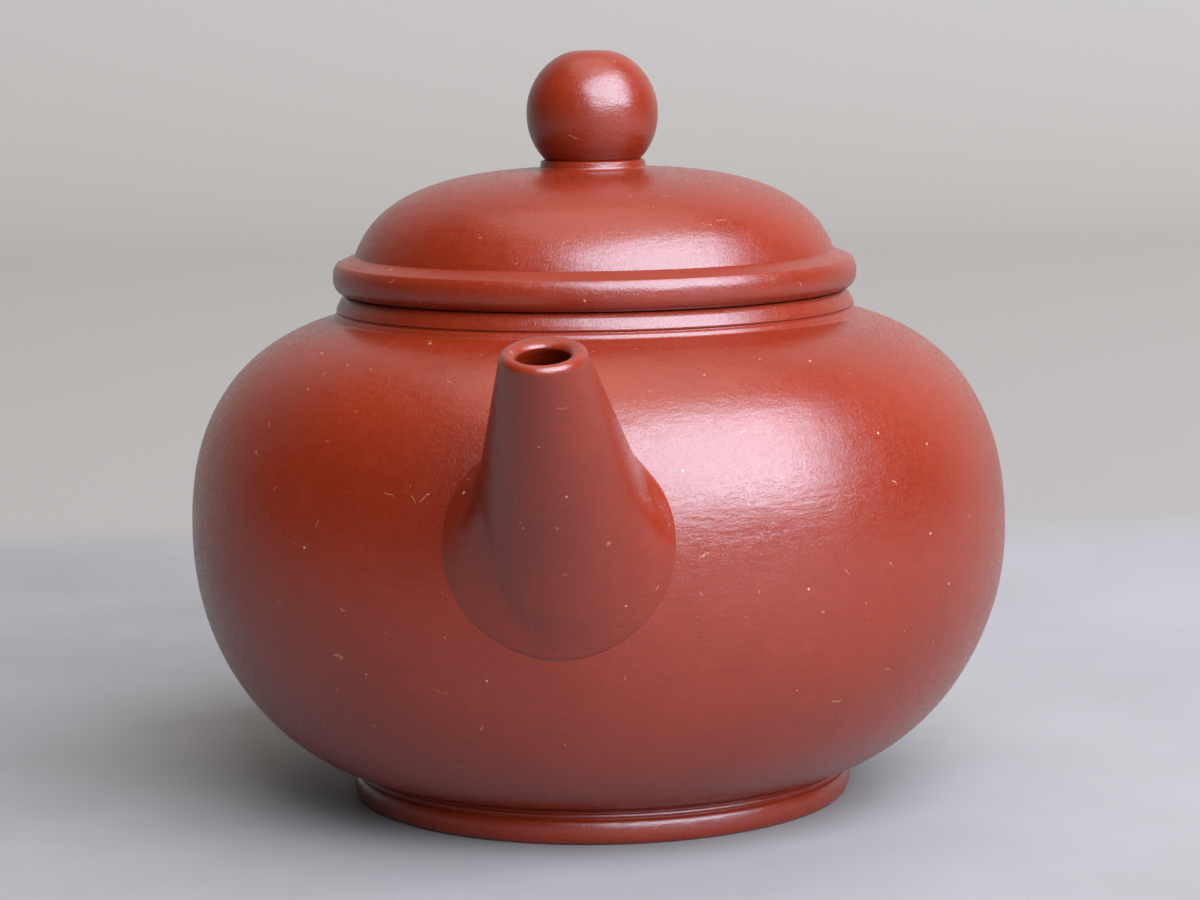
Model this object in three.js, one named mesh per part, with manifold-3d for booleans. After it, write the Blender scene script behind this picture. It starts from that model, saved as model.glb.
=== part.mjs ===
// A small yixing clay teapot, built as it is made by hand: beaten discs, a wall strip, rings and
// turned members luted together, and a loose lid that drops into the mouth.
// Millimetres, +Z up. The origin is on the pot's axis, at the height of the foot's underside.
// The spout points along +X and the handle along -X.
import * as THREE from 'three';
import { mergeVertices } from 'three/addons/utils/BufferGeometryUtils.js';
import Module from 'manifold-3d';

// ---------------------------------------------------------------- driving dimensions

const TURN_STEPS = 40;            // facets round the pot
const SMALL_TURN_STEPS = 24;      // facets round the knob, the spout and the handle
const JOINT_GAP = 0.3;            // slip line where a luted member meets a curved wall

const BODY_RADIUS = 44;           // widest radius, at the belly
const BELLY_HEIGHT = 29.4;        // height of the widest point
const WALL = 2.6;                 // beaten clay thickness of the shell
const BELLY_RISE = 13.9;          // how long the wall stays upright above the belly
const BELLY_DROP = 11.9;          // and below it

const FOOT_RADIUS = 26.5;         // where the foot rests
const FOOT_BULGE = 27.15;         // widest radius of the foot's bead
const FOOT_INNER_RADIUS = 23.2;
const FOOT_LINE_HEIGHT = 2.7;     // the fine groove above the bead
const FOOT_HEIGHT = 3.7;          // where the foot meets the body
const FOOT_TOP_RADIUS = 26.6;

const BASE_TOP = 6.3;             // height of the floor inside the pot
const SHOULDER_SPLIT = 48;        // where the closing disc meets the wall strip
const NECK_BASE = 52;             // where the collar stands on the shoulder
const SHOULDER_RADIUS = 29.04;    // inner end of the shoulder's curve

const MOUTH_RADIUS = 24.6;
const NECK_RADIUS = 27.4;         // outside of the collar at its rim
const NECK_LINE_HEIGHT = 53.2;    // the groove round the collar
const NECK_TOP = 54.8;

const SEAT_GAP = 0.05;            // the lid's rim over the collar's rim
const LID_BASE = NECK_TOP + SEAT_GAP;
const LID_RADIUS = 28.2;          // widest radius of the lid's bead
const LID_EDGE_RADIUS = 27.7;     // crisp edge on top of the bead
const LID_EDGE_HEIGHT = 58.2;
const DOME_FOOT_RADIUS = 25.8;    // where the dome leaves the bead
const DOME_FOOT_HEIGHT = 58.9;
const DOME_TOP = 67.8;
const DOME_FLAT_RADIUS = 6;       // flat under the knob's collar
const LID_WALL = 2.4;
const FLANGE_RADIUS = 24.15;
const FLANGE_WALL = 2.2;
const FLANGE_DEPTH = 7.2;

const KNOB_RADIUS = 7.05;
const KNOB_NECK_RADIUS = 5.1;
const KNOB_BASE = 68.8;
const KNOB_WIDEST = 73.8;
const KNOB_TOP = 80.4;
const VENT_RADIUS = 0.8;

const SPOUT_MOUTH = new THREE.Vector3(59, 0, 54.35);
const SPOUT_ROOT = new THREE.Vector3(38, 0, 33);
const SPOUT_MOUTH_RADIUS = 4.1;
const SPOUT_TAPER = 0.198;        // gain in radius for each millimetre down the spout
const SPOUT_BORE_RADIUS = 2.55;
const SPOUT_BORE_TAPER = 0.15;
const SPOUT_MOUTH_TILT = 17 * Math.PI / 180;   // the mouth is cut this far off level

const PASSAGE_HEIGHT = 35.5;      // the round opening in the wall, behind the spout
const PASSAGE_RADIUS = 5.6;
const STRAINER_RADIUS = 8;
const STRAINER_WALL = 1.2;
const STRAINER_HOLE_RADIUS = 0.95;

const CLAY = { roughness: 0.42, metalness: 0 };
const OUTER_CLAY = 0xa8452e;
const INNER_CLAY = 0x9a4029;

// ---------------------------------------------------------------- outlines

const point = (r, z) => new THREE.Vector2(r, z);

function curvePoints(from, handleA, handleB, to, steps) {
  return new THREE.CubicBezierCurve(from, handleA, handleB, to).getPoints(steps);
}

const belly = point(BODY_RADIUS, BELLY_HEIGHT);

// The pot's outside above the belly and below it, each one smooth curve.
const upperWall = new THREE.CubicBezierCurve(
  belly,
  point(BODY_RADIUS, BELLY_HEIGHT + BELLY_RISE),
  point(SHOULDER_RADIUS + 8.36, NECK_BASE - 2.3),
  point(SHOULDER_RADIUS, NECK_BASE),
);
const lowerWall = new THREE.CubicBezierCurve(
  point(FOOT_TOP_RADIUS, FOOT_HEIGHT),
  point(FOOT_TOP_RADIUS + 10.2, FOOT_HEIGHT + 2.5),
  point(BODY_RADIUS, BELLY_HEIGHT - BELLY_DROP),
  belly,
);

// The parameter at which a rising curve, moved in by an offset, reaches a height.
function parameterAtHeight(curve, height, offset) {
  let low = 0;
  let high = 1;
  for (let i = 0; i < 40; i += 1) {
    const middle = (low + high) / 2;
    if (offsetPoint(curve, middle, offset).y < height) low = middle;
    else high = middle;
  }
  return (low + high) / 2;
}

// A point of a curve moved towards the pot's inside, square to the curve.
function offsetPoint(curve, t, offset) {
  const place = curve.getPoint(t);
  const along = curve.getTangent(t);
  return point(place.x - along.y * offset, place.y + along.x * offset);
}

function stretch(curve, lowHeight, highHeight, offset, steps) {
  const start = parameterAtHeight(curve, lowHeight, offset);
  const end = parameterAtHeight(curve, highHeight, offset);
  const points = [];
  for (let i = 0; i <= steps; i += 1) {
    points.push(offsetPoint(curve, start + (end - start) * i / steps, offset));
  }
  return points;
}

// ---------------------------------------------------------------- solids

const wasm = await Module();
wasm.setup();

function turned(outline, steps = TURN_STEPS) {
  const geometry = new THREE.LatheGeometry([...outline, outline[0].clone()], steps);
  geometry.rotateX(Math.PI / 2);
  return closed(geometry);
}

function turnedOnAxis(outline, steps = TURN_STEPS) {
  const geometry = new THREE.LatheGeometry(outline, steps);
  geometry.rotateX(Math.PI / 2);
  return closed(geometry);
}

function closed(geometry) {
  const bare = geometry.clone();
  bare.deleteAttribute('normal');
  bare.deleteAttribute('uv');
  return withoutSlivers(mergeVertices(bare, 1e-4));
}

// Merging leaves triangles with no area on the axis, which are dropped.
function withoutSlivers(geometry) {
  const kept = [];
  const index = geometry.index.array;
  for (let i = 0; i < index.length; i += 3) {
    const [a, b, c] = [index[i], index[i + 1], index[i + 2]];
    if (a !== b && b !== c && c !== a) kept.push(a, b, c);
  }
  geometry.setIndex(kept);
  return geometry;
}

function solid(geometry) {
  const source = closed(geometry);
  return new wasm.Manifold(new wasm.Mesh({
    numProp: 3,
    vertProperties: new Float32Array(source.attributes.position.array),
    triVerts: new Uint32Array(source.index.array),
  }));
}

function geometryOf(manifold) {
  const mesh = manifold.getMesh();
  const geometry = new THREE.BufferGeometry();
  geometry.setAttribute('position', new THREE.BufferAttribute(mesh.vertProperties, 3));
  geometry.setIndex(new THREE.BufferAttribute(mesh.triVerts, 1));
  return geometry;
}

// Rings of points joined into one skin, with a flat fan over each end.
function loft(rings) {
  const count = rings[0].length;
  const places = rings.flat();
  const faces = [];
  for (let i = 0; i < rings.length - 1; i += 1) {
    for (let j = 0; j < count; j += 1) {
      const a = i * count + j;
      const b = i * count + (j + 1) % count;
      faces.push(a, b, b + count, a, b + count, a + count);
    }
  }
  const centres = [rings[0], rings[rings.length - 1]].map((ring) => {
    const sum = ring.reduce((total, place) => total.add(place), new THREE.Vector3());
    return sum.divideScalar(count);
  });
  places.push(...centres);
  const last = (rings.length - 1) * count;
  for (let j = 0; j < count; j += 1) {
    const next = (j + 1) % count;
    faces.push(next, j, rings.length * count);
    faces.push(last + j, last + next, rings.length * count + 1);
  }
  const geometry = new THREE.BufferGeometry().setFromPoints(places);
  geometry.setIndex(faces);
  return geometry;
}

// ---------------------------------------------------------------- shell of the pot

// The pot's outside as one filled solid, moved out by a margin or, below zero, in.
function filledBody(margin, steps) {
  const low = stretch(lowerWall, FOOT_HEIGHT + 0.01, BELLY_HEIGHT - 0.01, -margin, steps);
  const high = stretch(upperWall, BELLY_HEIGHT + 0.01, NECK_BASE - 0.01, -margin, steps);
  const outline = [...low, ...high];
  const bottom = point(0, outline[0].y);
  const top = point(0, outline[outline.length - 1].y);
  return solid(turnedOnAxis([bottom, ...outline, top]));
}

function bodyWall() {
  const outside = [
    ...stretch(lowerWall, BASE_TOP, BELLY_HEIGHT - 0.01, 0, 7),
    ...stretch(upperWall, BELLY_HEIGHT + 0.01, SHOULDER_SPLIT, 0, 6).slice(1),
  ];
  const inside = [
    ...stretch(lowerWall, BASE_TOP, BELLY_HEIGHT - 0.01, WALL, 5),
    ...stretch(upperWall, BELLY_HEIGHT + 0.01, SHOULDER_SPLIT, WALL, 4).slice(1),
  ];
  const shell = solid(turned([...outside, ...inside.reverse()]));
  return geometryOf(shell.subtract(wallPassage()));
}

// The opening behind the spout, cut straight through the wall.
function wallPassage() {
  const cutter = new THREE.CylinderGeometry(PASSAGE_RADIUS, PASSAGE_RADIUS, 20, 16);
  cutter.rotateZ(Math.PI / 2);
  cutter.translate(BODY_RADIUS, 0, PASSAGE_HEIGHT);
  return solid(cutter);
}

function shoulderDisc() {
  const outside = stretch(upperWall, SHOULDER_SPLIT, NECK_BASE - 0.01, 0, 4);
  outside[outside.length - 1].y = NECK_BASE;
  const underside = NECK_BASE - WALL;
  const inside = stretch(upperWall, SHOULDER_SPLIT, underside, WALL, 3);
  return turned([
    ...outside,
    point(MOUTH_RADIUS, NECK_BASE),
    point(MOUTH_RADIUS, underside),
    ...inside.reverse(),
  ]);
}

function baseDisc() {
  const edge = stretch(lowerWall, FOOT_HEIGHT + 0.005, BASE_TOP, 0, 3);
  edge[0].y = FOOT_HEIGHT;
  return turnedOnAxis([
    point(0, FOOT_HEIGHT),
    point(FOOT_INNER_RADIUS, FOOT_HEIGHT),
    ...edge,
    point(stretch(lowerWall, BASE_TOP, BASE_TOP + 1, WALL, 1)[0].x, BASE_TOP),
    point(0, BASE_TOP),
  ]);
}

function neckCollar() {
  return turned([
    point(MOUTH_RADIUS, NECK_BASE),
    point(NECK_RADIUS + 1.1, NECK_BASE),
    point(NECK_RADIUS + 0.7, NECK_BASE + 0.3),
    point(NECK_RADIUS + 0.62, NECK_LINE_HEIGHT - 0.4),
    point(NECK_RADIUS + 0.3, NECK_LINE_HEIGHT),
    point(NECK_RADIUS + 0.35, NECK_LINE_HEIGHT + 0.3),
    point(NECK_RADIUS, NECK_TOP - 0.3),
    point(NECK_RADIUS - 0.3, NECK_TOP),
    point(MOUTH_RADIUS + 0.3, NECK_TOP),
    point(MOUTH_RADIUS, NECK_TOP - 0.3),
  ]);
}

function footRing() {
  const bead = curvePoints(
    point(FOOT_RADIUS, 0),
    point(FOOT_BULGE + 0.15, 0.3),
    point(FOOT_BULGE + 0.15, FOOT_LINE_HEIGHT - 0.4),
    point(FOOT_TOP_RADIUS + 0.1, FOOT_LINE_HEIGHT),
    4,
  );
  return turned([
    ...bead,
    point(FOOT_TOP_RADIUS - 0.1, FOOT_LINE_HEIGHT + 0.25),
    point(FOOT_TOP_RADIUS, FOOT_HEIGHT),
    point(FOOT_INNER_RADIUS, FOOT_HEIGHT),
    point(FOOT_INNER_RADIUS + 0.5, 0.4),
    point(FOOT_INNER_RADIUS + 1, 0),
  ]);
}

// ---------------------------------------------------------------- spout and strainer

const spoutAxis = SPOUT_MOUTH.clone().sub(SPOUT_ROOT).normalize();
const spoutLength = SPOUT_MOUTH.distanceTo(SPOUT_ROOT);
const mouthNormal = new THREE.Vector3(Math.sin(SPOUT_MOUTH_TILT), 0, Math.cos(SPOUT_MOUTH_TILT));

// A cone round the spout's axis. Distance is measured down from the mouth.
function coneOnSpoutAxis(mouthRadius, taper, from, to) {
  const ring = (distance) => {
    const centre = SPOUT_MOUTH.clone().addScaledVector(spoutAxis, -distance);
    const radius = mouthRadius + taper * distance;
    const up = new THREE.Vector3(-spoutAxis.z, 0, spoutAxis.x);
    const places = [];
    for (let i = 0; i < SMALL_TURN_STEPS; i += 1) {
      const angle = 2 * Math.PI * i / SMALL_TURN_STEPS;
      const place = centre.clone().addScaledVector(up, radius * Math.cos(angle));
      place.y += radius * Math.sin(angle);
      places.push(place);
    }
    return places;
  };
  return solid(loft([ring(from), ring(to)]));
}

// A large flat block above the spout's mouth, which cuts it off.
function aboveMouth() {
  const block = new THREE.BoxGeometry(40, 40, 20);
  block.translate(0, 0, 10);
  block.applyQuaternion(new THREE.Quaternion().setFromUnitVectors(new THREE.Vector3(0, 0, 1), mouthNormal));
  block.translate(SPOUT_MOUTH.x, 0, SPOUT_MOUTH.z);
  return solid(block);
}

function spoutBore() {
  return coneOnSpoutAxis(SPOUT_BORE_RADIUS, SPOUT_BORE_TAPER, -10, spoutLength + 4);
}

function spout() {
  const outside = coneOnSpoutAxis(SPOUT_MOUTH_RADIUS, SPOUT_TAPER, -6, spoutLength + 7);
  const hollow = outside.subtract(spoutBore());
  const cut = hollow.subtract(aboveMouth());
  return geometryOf(cut.subtract(filledBody(JOINT_GAP, 14)));
}

// The strainer is a thin dome over the bore, inside the wall, drilled in rings.
function spoutStrainer() {
  const centre = new THREE.Vector3(BODY_RADIUS - WALL - 1.2, 0, PASSAGE_HEIGHT);
  const ball = (radius) => {
    const sphere = new THREE.SphereGeometry(radius, 18, 10);
    sphere.rotateZ(Math.PI / 2);
    sphere.translate(centre.x, centre.y, centre.z);
    return solid(sphere);
  };
  let dome = ball(STRAINER_RADIUS).subtract(ball(STRAINER_RADIUS - STRAINER_WALL));
  for (const [spread, count] of [[0, 1], [27, 6], [52, 11]]) {
    for (let i = 0; i < count; i += 1) {
      dome = dome.subtract(strainerHole(centre, spread * Math.PI / 180, 2 * Math.PI * i / count));
    }
  }
  return geometryOf(dome.intersect(filledBody(-WALL - JOINT_GAP, 14)));
}

function strainerHole(centre, spread, turn) {
  const drill = new THREE.CylinderGeometry(STRAINER_HOLE_RADIUS, STRAINER_HOLE_RADIUS, STRAINER_RADIUS + 2, 6);
  drill.translate(0, (STRAINER_RADIUS + 2) / 2 + 1, 0);
  const inwards = new THREE.Vector3(
    -Math.cos(spread),
    Math.sin(spread) * Math.sin(turn),
    Math.sin(spread) * Math.cos(turn),
  );
  drill.applyQuaternion(new THREE.Quaternion().setFromUnitVectors(new THREE.Vector3(0, 1, 0), inwards));
  drill.translate(centre.x, centre.y, centre.z);
  return solid(drill);
}

// ---------------------------------------------------------------- handle

// The handle's middle line, from its upper root on the shoulder round to its lower root.
const handleLine = new THREE.CatmullRomCurve3([
  new THREE.Vector3(-35, 0, 45.5),
  new THREE.Vector3(-43, 0, 50.4),
  new THREE.Vector3(-51.5, 0, 51.4),
  new THREE.Vector3(-58.2, 0, 46.6),
  new THREE.Vector3(-60, 0, 38),
  new THREE.Vector3(-57.2, 0, 29),
  new THREE.Vector3(-50.6, 0, 22.2),
  new THREE.Vector3(-40, 0, 17.6),
], false, 'centripetal');
const HANDLE_TOP = { thickness: 3.5, width: 4.7 };       // half sizes at the upper root
const HANDLE_END = { thickness: 2.6, width: 3.4 };       // half sizes at the lower root

function handle() {
  const steps = 22;
  const sides = 12;
  const rings = [];
  for (let i = 0; i <= steps; i += 1) {
    const t = i / steps;
    const centre = handleLine.getPointAt(t);
    const along = handleLine.getTangentAt(t);
    const out = new THREE.Vector3(along.z, 0, -along.x);
    const thickness = THREE.MathUtils.lerp(HANDLE_TOP.thickness, HANDLE_END.thickness, t);
    const width = THREE.MathUtils.lerp(HANDLE_TOP.width, HANDLE_END.width, t);
    const ring = [];
    for (let j = 0; j < sides; j += 1) {
      const angle = 2 * Math.PI * j / sides;
      const place = centre.clone().addScaledVector(out, thickness * Math.cos(angle));
      place.y += width * Math.sin(angle);
      ring.push(place);
    }
    rings.push(ring);
  }
  return geometryOf(solid(loft(rings)).subtract(filledBody(JOINT_GAP, 14)));
}

// ---------------------------------------------------------------- lid

// The dome's outside, from its foot on the bead up to the flat under the knob's collar.
const domeCurve = new THREE.CubicBezierCurve(
  point(DOME_FOOT_RADIUS, DOME_FOOT_HEIGHT),
  point(24.1, 63.6),
  point(19.3, DOME_TOP - 0.25),
  point(DOME_FLAT_RADIUS, DOME_TOP),
);

function lidDome() {
  const inside = [];
  for (let i = 1; i <= 6; i += 1) {
    inside.push(offsetPoint(domeCurve, i / 6, LID_WALL));
  }
  return turned([
    point(FLANGE_RADIUS - FLANGE_WALL, DOME_FOOT_HEIGHT),
    ...domeCurve.getPoints(8),
    point(VENT_RADIUS, DOME_TOP),
    point(VENT_RADIUS, DOME_TOP - LID_WALL),
    ...inside.reverse(),
  ]);
}

function lidRim() {
  const face = curvePoints(
    point(LID_EDGE_RADIUS - 0.4, LID_BASE + 0.1),
    point(LID_RADIUS + 0.2, LID_BASE + 0.6),
    point(LID_RADIUS + 0.2, LID_BASE + 2.4),
    point(LID_EDGE_RADIUS, LID_EDGE_HEIGHT),
    5,
  );
  return turned([
    point(FLANGE_RADIUS - FLANGE_WALL, LID_BASE),
    point(FLANGE_RADIUS, LID_BASE),
    point(NECK_RADIUS - 0.6, LID_BASE),
    ...face,
    point(LID_EDGE_RADIUS - 0.25, LID_EDGE_HEIGHT + 0.12),
    point(DOME_FOOT_RADIUS + 0.5, DOME_FOOT_HEIGHT - 0.35),
    point(DOME_FOOT_RADIUS, DOME_FOOT_HEIGHT),
    point(FLANGE_RADIUS - FLANGE_WALL, DOME_FOOT_HEIGHT),
  ]);
}

function lidFlange() {
  return turned([
    point(FLANGE_RADIUS - FLANGE_WALL, LID_BASE),
    point(FLANGE_RADIUS - FLANGE_WALL + 0.3, LID_BASE - FLANGE_DEPTH + 0.3),
    point(FLANGE_RADIUS - FLANGE_WALL + 0.6, LID_BASE - FLANGE_DEPTH),
    point(FLANGE_RADIUS - 0.5, LID_BASE - FLANGE_DEPTH),
    point(FLANGE_RADIUS - 0.2, LID_BASE - FLANGE_DEPTH + 0.3),
    point(FLANGE_RADIUS, LID_BASE),
  ]);
}

function knobCollar() {
  return turned([
    point(VENT_RADIUS, DOME_TOP),
    point(DOME_FLAT_RADIUS, DOME_TOP),
    point(KNOB_NECK_RADIUS + 0.35, DOME_TOP + 0.35),
    point(KNOB_NECK_RADIUS, KNOB_BASE),
    point(VENT_RADIUS, KNOB_BASE),
  ], SMALL_TURN_STEPS);
}

function knob() {
  const lower = curvePoints(
    point(KNOB_NECK_RADIUS, KNOB_BASE),
    point(KNOB_NECK_RADIUS + 1.3, KNOB_BASE + 1.3),
    point(KNOB_RADIUS, KNOB_WIDEST - 2),
    point(KNOB_RADIUS, KNOB_WIDEST),
    5,
  );
  const upper = curvePoints(
    point(KNOB_RADIUS, KNOB_WIDEST),
    point(KNOB_RADIUS, KNOB_WIDEST + 3.7),
    point(4.1, KNOB_TOP),
    point(VENT_RADIUS, KNOB_TOP),
    7,
  );
  return turned([
    point(VENT_RADIUS, KNOB_BASE),
    ...lower,
    ...upper.slice(1),
  ], SMALL_TURN_STEPS);
}

// ---------------------------------------------------------------- assembly

function piece(name, geometry, color) {
  const material = new THREE.MeshStandardMaterial({ color, ...CLAY });
  const mesh = new THREE.Mesh(geometry, material);
  mesh.name = name;
  return mesh;
}

const pot = new THREE.Group();
pot.add(piece('body_wall', bodyWall(), OUTER_CLAY));
pot.add(piece('shoulder_disc', shoulderDisc(), OUTER_CLAY));
pot.add(piece('base_disc', baseDisc(), OUTER_CLAY));
pot.add(piece('neck_collar', neckCollar(), OUTER_CLAY));
pot.add(piece('foot_ring', footRing(), OUTER_CLAY));
pot.add(piece('spout', spout(), OUTER_CLAY));
pot.add(piece('spout_strainer', spoutStrainer(), INNER_CLAY));
pot.add(piece('handle', handle(), OUTER_CLAY));

const lid = new THREE.Group();
lid.add(piece('lid_dome', lidDome(), OUTER_CLAY));
lid.add(piece('lid_rim', lidRim(), OUTER_CLAY));
lid.add(piece('lid_flange', lidFlange(), INNER_CLAY));
lid.add(piece('knob_collar', knobCollar(), OUTER_CLAY));
lid.add(piece('knob', knob(), OUTER_CLAY));

const teapot = new THREE.Group();
teapot.add(pot, lid);
export default teapot;
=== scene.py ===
"""A small yixing clay teapot: burnished red clay, lid lifted by its ball knob.

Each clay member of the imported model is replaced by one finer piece, made of rings of points
and named fine_ and the member's name. Lengths are in millimetres, which plain_mesh() turns into
metres, except those of the lights, the floor and the wall round it, which are in metres.
"""
import math

import bpy
import numpy as np
from mathutils import Matrix, Vector


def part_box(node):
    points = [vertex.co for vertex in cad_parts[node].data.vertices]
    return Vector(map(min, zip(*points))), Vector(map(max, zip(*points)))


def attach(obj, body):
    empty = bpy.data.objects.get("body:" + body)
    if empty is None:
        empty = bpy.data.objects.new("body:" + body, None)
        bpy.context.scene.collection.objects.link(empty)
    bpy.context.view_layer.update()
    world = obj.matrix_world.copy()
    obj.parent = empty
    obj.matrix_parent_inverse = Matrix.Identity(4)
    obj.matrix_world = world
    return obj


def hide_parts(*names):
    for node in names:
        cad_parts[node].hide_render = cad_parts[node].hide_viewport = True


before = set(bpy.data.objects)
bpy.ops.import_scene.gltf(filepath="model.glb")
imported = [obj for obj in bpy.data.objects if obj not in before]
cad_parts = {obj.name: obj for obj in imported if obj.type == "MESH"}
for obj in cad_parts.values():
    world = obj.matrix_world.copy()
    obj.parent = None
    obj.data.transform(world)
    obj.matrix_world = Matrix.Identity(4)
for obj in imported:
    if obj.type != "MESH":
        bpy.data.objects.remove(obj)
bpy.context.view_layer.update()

# ------------------------------------------------------------ sizes that the frame gives

MM = 0.001


def box(node):
    """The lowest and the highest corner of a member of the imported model."""
    low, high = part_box(node)
    return np.array(low) / MM, np.array(high) / MM


wall_low, wall_high = box("body_wall")
collar_low, collar_high = box("neck_collar")
foot_high = box("foot_ring")[1]
rim_low, rim_high = box("lid_rim")
dome_low, dome_high = box("lid_dome")
flange_low, flange_high = box("lid_flange")
step_high = box("knob_collar")[1]
knob_low, knob_high = box("knob")

BELLY_RADIUS = wall_high[1]
FLOOR = wall_low[2]
SHOULDER_SPLIT = wall_high[2]
NECK_BASE = collar_low[2]
NECK_TOP = collar_high[2]
FOOT_TOP = foot_high[2]
LID_BASE = rim_low[2]
RIM_RADIUS = rim_high[1]
DOME_TOP = dome_high[2]
DOME_FOOT = dome_low[2]
DOME_FOOT_RADIUS = dome_high[1]
FLANGE_RADIUS = flange_high[1]
FLANGE_BOTTOM = flange_low[2]
KNOB_BASE = knob_low[2]
KNOB_TOP = knob_high[2]
KNOB_RADIUS = knob_high[1]
STEP_RADIUS = step_high[1]

# ------------------------------------------------------------ sizes that the design repeats

AROUND = 192                      # points round the pot
SMALL_AROUND = 96                 # points round the spout, the handle and the knob
WALL_RINGS = 90                   # rings of points up the pot's side

BELLY_HEIGHT = 29.4
BELLY_RISE = 13.9
BELLY_DROP = 11.9
FOOT_TOP_RADIUS = 26.6
SHOULDER_RADIUS = 29.04
WALL = 2.6
MOUTH_RADIUS = 24.6
NECK_RADIUS = 27.4
FOOT_INNER_RADIUS = 23.2
FLANGE_INNER_RADIUS = FLANGE_RADIUS - 2.2
LID_WALL = 2.4
VENT_RADIUS = 0.8
KNOB_NECK_RADIUS = 5.1
KNOB_WIDEST = 73.8

SPOUT_MOUTH = np.array([59.0, 0.0, 54.35])
SPOUT_ROOT = np.array([38.0, 0.0, 33.0])
SPOUT_MOUTH_RADIUS = 4.1
SPOUT_TAPER = 0.198
SPOUT_BORE_RADIUS = 2.5
SPOUT_FOOT_CENTRE = 34.6          # height of the middle of the spout's oval foot
SPOUT_FOOT_HALF_HEIGHT = 12.1
SPOUT_FOOT_HALF_WIDTH = 11.9
SPOUT_FOOT_ASIDE = -0.5           # the foot is pressed on by hand, a little to one side
SPOUT_LIP_ROUNDING = 0.85         # height of the lip's rounding, as a share of half its width
SPOUT_MOUTH_TILT = math.radians(13)

# The foot of the spout curves out over a length, and leaves a corner by a lift. Each is given at
# the top, with what it gains down the lower half and what it loses again right underneath.
SPOUT_BLEND, SPOUT_BLEND_LOWER, SPOUT_BLEND_UNDER = 2.8, 6.0, 6.6
SPOUT_LIFT, SPOUT_LIFT_LOWER, SPOUT_LIFT_UNDER = 1.2, 0.8, 1.7
SPOUT_LOWER_FROM = 0.15           # cosines, from straight up, where the lower half sets in
SPOUT_LOWER_OVER = 0.5            # and of the stretch over which it does

PASSAGE_HEIGHT = 35.5             # the round hole in the pot's side, behind the spout
PASSAGE_RADIUS = 5.6
HOLE_HALF_COLUMNS = 4             # faces to each side of its middle that the hole replaces
HOLE_REACH = 2.2                  # where the faces round it are square again, in half sizes of it
HOLE_FADE = 1.2                   # and over how many half sizes they turn from round to square

STRAINER_RADIUS = 8.0
STRAINER_WALL = 1.2
STRAINER_CENTRE = np.array([BELLY_RADIUS - WALL - 1.2, 0, PASSAGE_HEIGHT])
STRAINER_HOLE_RADIUS = 0.95
STRAINER_HOLE_SIDES = 16
STRAINER_HOLES = ((0, 1), (27, 6), (52, 11))   # degrees off the middle, and how many holes there

# The swells that the paddle leaves in the side: depth, waves round the pot, radians of turn for
# each millimetre up, and where the first wave starts.
SWELLS = (
    (0.045, 3, 0.11, 0.4),
    (0.030, 7, -0.23, 1.9),
    (0.018, 13, 0.41, 4.2),
)
SWELL_FADE = 6                    # the swells die away over this height at the foot and the neck

CORNER_SHARE = 0.45               # the most of a side that the arc at its corner takes up
ARC_STEP = 0.18                   # radians between points of such an arc
SHARP_EDGE = math.radians(35)     # edges made by cutting look crisp from this angle up

# A foot's curve is pulled this far from where it leaves and from where it lands to its corner.
LEAVING_PULL = 0.55
LANDING_PULL = 0.6
TUCK = 0.12                       # how far a foot goes on past its landing, as a share of its reach
TUCK_DEPTH = 0.06                 # and how deep it goes into the pot there

# ------------------------------------------------------------ outlines


def bezier(a, b, c, d, count):
    t = np.linspace(0, 1, count)[:, None]
    a, b, c, d = (np.array(p, float) for p in (a, b, c, d))
    return (1 - t) ** 3 * a + 3 * t * (1 - t) ** 2 * b + 3 * t * t * (1 - t) * c + t ** 3 * d


def evenly(points, count=None, step=None):
    """The same line, with points at equal distances along it."""
    along = np.concatenate([[0], np.cumsum(np.linalg.norm(np.diff(points, axis=0), axis=1))])
    count = count or max(3, int(round(along[-1] / step)) + 1)
    places = np.linspace(0, along[-1], count)
    return np.stack([np.interp(places, along, points[:, k]) for k in range(points.shape[1])], 1)


def circle(count):
    """Angles at equal steps, once round."""
    return np.arange(count) * 2 * math.pi / count


def eased(share):
    """A share from 0 to 1 that starts and ends gently."""
    return share * share * (3 - 2 * share)


def directions(line):
    """The direction of a line at each of its points."""
    along = np.gradient(line, axis=0, edge_order=2 if len(line) > 2 else 1)
    return along / np.linalg.norm(along, axis=1, keepdims=True)


def inwards(line, distance):
    """A rising outline moved square to itself, towards the axis."""
    along = directions(line)
    return line + distance * np.stack([-along[:, 1], along[:, 0]], 1)


def between(line, low, high):
    """The stretch of a rising outline between two heights, ends included."""
    order = np.argsort(line[:, 1])
    ends = [[np.interp(z, line[order, 1], line[order, 0]), z] for z in (low, high)]
    inside = line[(line[:, 1] > low + 1e-6) & (line[:, 1] < high - 1e-6)]
    return np.vstack([ends[0], inside, ends[1]])


lower_wall = bezier(
    (FOOT_TOP_RADIUS, FOOT_TOP),
    (FOOT_TOP_RADIUS + 10.2, FOOT_TOP + 2.5),
    (BELLY_RADIUS, BELLY_HEIGHT - BELLY_DROP),
    (BELLY_RADIUS, BELLY_HEIGHT),
    900,
)
upper_wall = bezier(
    (BELLY_RADIUS, BELLY_HEIGHT),
    (BELLY_RADIUS, BELLY_HEIGHT + BELLY_RISE),
    (SHOULDER_RADIUS + 8.36, NECK_BASE - 2.3),
    (SHOULDER_RADIUS, NECK_BASE),
    900,
)
SHELL = np.vstack([lower_wall[:-1], upper_wall])
SHELL_INSIDE = inwards(SHELL, WALL)
SHELL_OUT = np.stack([directions(SHELL)[:, 1], -directions(SHELL)[:, 0]], 1)


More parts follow.
